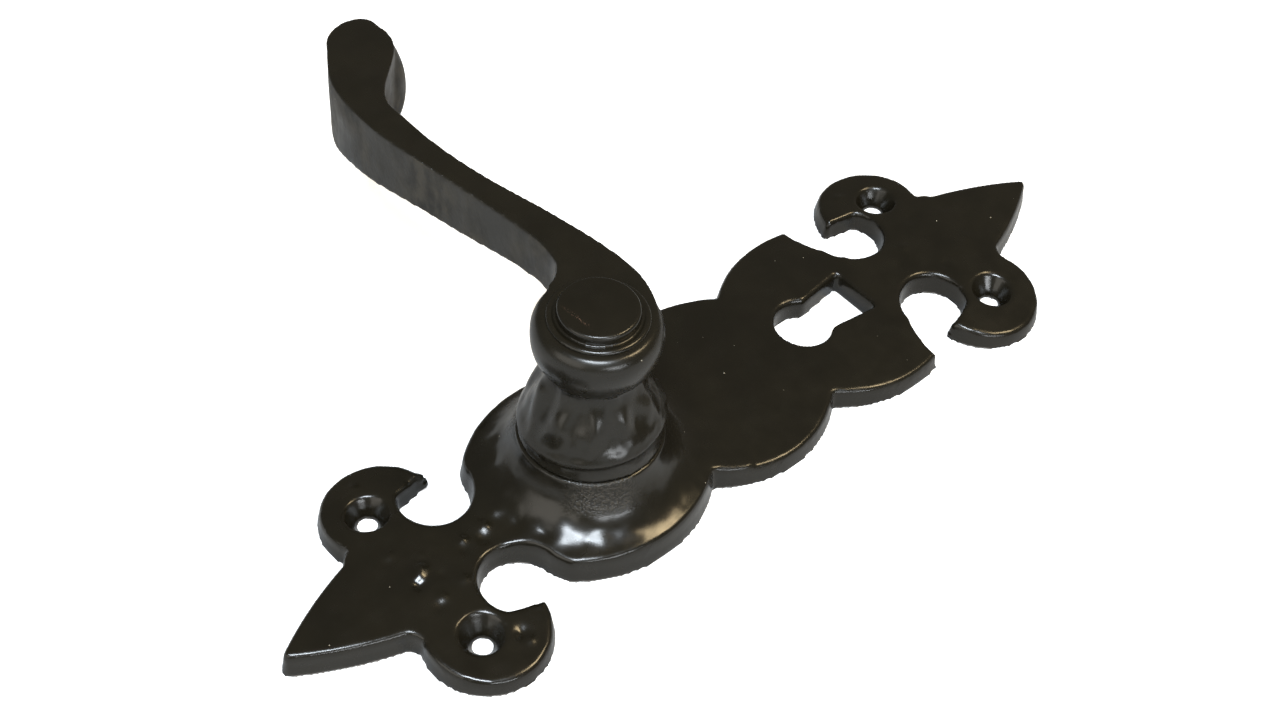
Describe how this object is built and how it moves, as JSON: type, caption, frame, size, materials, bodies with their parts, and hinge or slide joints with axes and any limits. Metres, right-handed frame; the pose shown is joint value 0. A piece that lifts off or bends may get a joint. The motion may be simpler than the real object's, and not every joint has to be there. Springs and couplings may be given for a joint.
{
  "type": "lever door handle",
  "caption": "Scrolled lever handle with a ball head on a trumpet-shaped dome, sprung, on a long backplate with fleur-de-lys ends, a keyhole and countersunk screw holes.",
  "frame": {"origin": "where the lever's turning axis meets the flat back of the plate", "axes": "+X along the plate towards the keyhole, which is down on the door; +Y along the lever at rest; +Z away from the door"},
  "size_m": [0.194, 0.1193, 0.0475],
  "materials": {
    "painted_iron": "satin black paint over cast iron",
    "painted_iron_lever": "satin black paint over cast iron",
    "painted_stud": "satin black paint on steel",
    "bush_brass": "turned",
    "washer_nylon": "black nylon",
    "zinc_steel": "zinc plated",
    "cam_steel": "pressed steel",
    "spring_steel": "drawn spring wire",
    "cover_steel": "zinc plated sheet",
    "screw_steel": "zinc plated"
  },
  "bodies": {
    "plate_body": {"backplate": "painted_iron", "bush": "bush_brass", "stop_pins": "zinc_steel", "spring_pin": "zinc_steel", "spring_cover": "cover_steel", "cover_screws": "screw_steel"},
    "lever_body": {"lever": "painted_iron_lever", "cap_stud": "painted_stud", "thrust_washer": "washer_nylon", "retaining_washer": "zinc_steel", "drive_cam": "cam_steel", "circlip": "spring_steel", "return_spring": "spring_steel"}
  },
  "joints": [
    {"name": "lever_turn", "type": "hinge", "parent": "plate_body", "child": "lever_body", "pos_m": [0, 0, 0.0125], "axis": [0, 0, -1], "range_deg": [0, 45], "deforming": ["return_spring"]}
  ]
}
